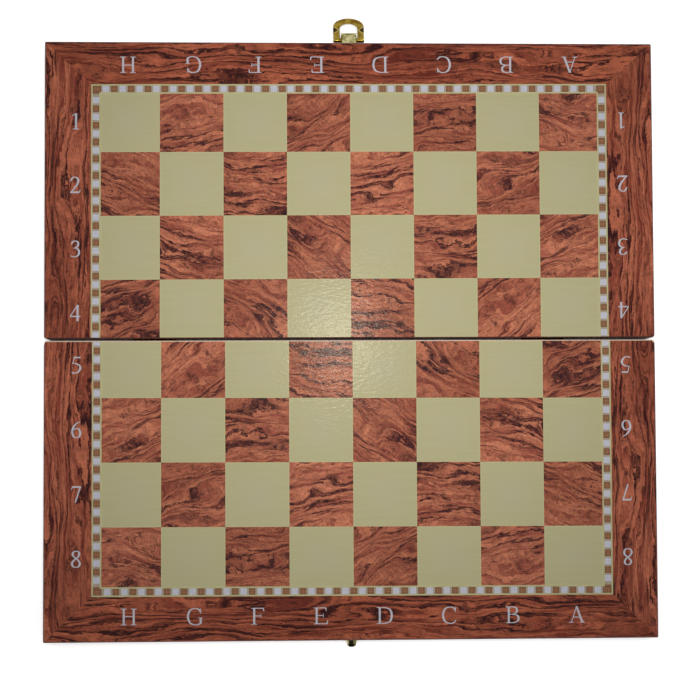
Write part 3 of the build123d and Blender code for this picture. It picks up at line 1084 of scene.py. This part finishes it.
def floor_surface():
    """White paper: it takes the object's shadow, and to the eye and in reflections it is white, but
    for a painted shadow where its glow is dimmed close to the object.
    """
    material = bpy.data.materials.new("white_paper")
    material.use_nodes = True
    tree = material.node_tree
    tree.nodes.clear()
    path = add(tree, "ShaderNodeLightPath").outputs
    seen = maths(tree, "ADD", path["Is Camera Ray"], path["Is Glossy Ray"], clamp=True)
    # Ambient occlusion within 5 mm dims the glow under and beside the object: a painted shadow.
    painted_shadow_ao = add(tree, "ShaderNodeAmbientOcclusion", {"Distance": 5 * mm}).outputs["AO"]
    paper = add(tree, "ShaderNodeBsdfDiffuse", {"Color": (0.92, 0.92, 0.92, 1)})
    glow = add(tree, "ShaderNodeEmission", {"Strength": times(tree, seen, painted_shadow_ao, 0.6)})
    both = add(tree, "ShaderNodeAddShader", {0: paper.outputs[0], 1: glow.outputs[0]})
    add(tree, "ShaderNodeOutputMaterial", {"Surface": both.outputs[0]})
    return material


def add_floor():
    """A floor that gives way when a pose swings a part below it: it stays under these points."""
    reach = 4.0
    corners = [(-reach, -reach, 0), (reach, -reach, 0), (reach, reach, 0), (-reach, reach, 0)]
    mesh = bpy.data.meshes.new("floor")
    mesh.from_pydata(corners, [], [(0, 1, 2, 3)])
    mesh.materials.append(floor_surface())
    floor = bpy.data.objects.new("floor", mesh)
    bpy.context.scene.collection.objects.link(floor)
    low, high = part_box("near_panel")
    loop_low, loop_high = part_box("hasp_loop")
    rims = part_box("near_left_rail")[0].z
    loop_thickness = 2 * mm
    swinging = [
        ("near_half", low.y, rims),
        ("near_half", low.y, sheet_high),
        ("near_half", high.y, sheet_high),
        ("hasp_loop", loop_high.y, loop_low.z),
        ("hasp_loop", loop_high.y, loop_low.z + loop_thickness),
    ]
    for number, (body, y, z) in enumerate(swinging):
        mark = bpy.data.objects.new(f"lowest_{number}", None)
        bpy.context.scene.collection.objects.link(mark)
        mark.location = (0, y, z)
        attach(mark, body)
        limit = floor.constraints.new("FLOOR")
        limit.target = mark
        limit.floor_location = "FLOOR_NEGATIVE_Z"


def add_world():
    """An even sky: it lights the object at its own level, and where it is seen it is white."""
    world = bpy.data.worlds.new("studio")
    bpy.context.scene.world = world
    world.use_nodes = True
    tree = world.node_tree
    tree.nodes.clear()
    path = add(tree, "ShaderNodeLightPath").outputs
    seen = maths(tree, "ADD", path["Is Camera Ray"], path["Is Glossy Ray"], clamp=True)
    strength = maths(tree, "MULTIPLY_ADD", seen, 1 - ambient_level, ambient_level)
    sky = add(tree, "ShaderNodeBackground", {"Color": (1, 1, 1, 1), "Strength": strength})
    add(tree, "ShaderNodeOutputWorld", {"Surface": sky.outputs[0]})


def add_lamp(name, kind, place, power, mirrored, **settings):
    """A lamp that points straight down, and that lights the object or is only mirrored in it."""
    data = bpy.data.lights.new(name, kind)
    data.energy = power
    for setting, value in settings.items():
        setattr(data, setting, value)
    lamp = bpy.data.objects.new(name, data)
    lamp.location = place
    lamp.visible_glossy = mirrored
    lamp.visible_diffuse = not mirrored
    bpy.context.scene.collection.objects.link(lamp)


def add_camera():
    """Almost straight above the middle, tilted a little to the right and away."""
    data = bpy.data.cameras.new("camera")
    data.sensor_width = 36
    data.lens = 94.65
    camera = bpy.data.objects.new("camera", data)
    camera.rotation_mode = "ZYX"
    camera.rotation_euler = (radians(2.825), radians(-2.326), radians(-0.155))
    camera.location = (-0.0423, seam_y - 0.0564, 1.0438)
    bpy.context.scene.collection.objects.link(camera)
    bpy.context.scene.camera = camera


add_floor()
add_world()
add_lamp(
    "soft_lamp",
    "SPOT",
    place=(0.012, seam_y + 0.043, 1.2),
    power=36.0,
    mirrored=False,
    spot_size=radians(30.8),
    spot_blend=1.0,
    shadow_soft_size=0.15,
)
add_lamp(
    "small_lamp",
    "AREA",
    place=(0.020, seam_y + 0.040, 0.75),
    power=0.52,
    mirrored=True,
    shape="DISK",
    size=0.05,
    color=(1.0, 0.92, 0.76),
)
add_camera()
bpy.context.scene.view_settings.view_transform = "Standard"
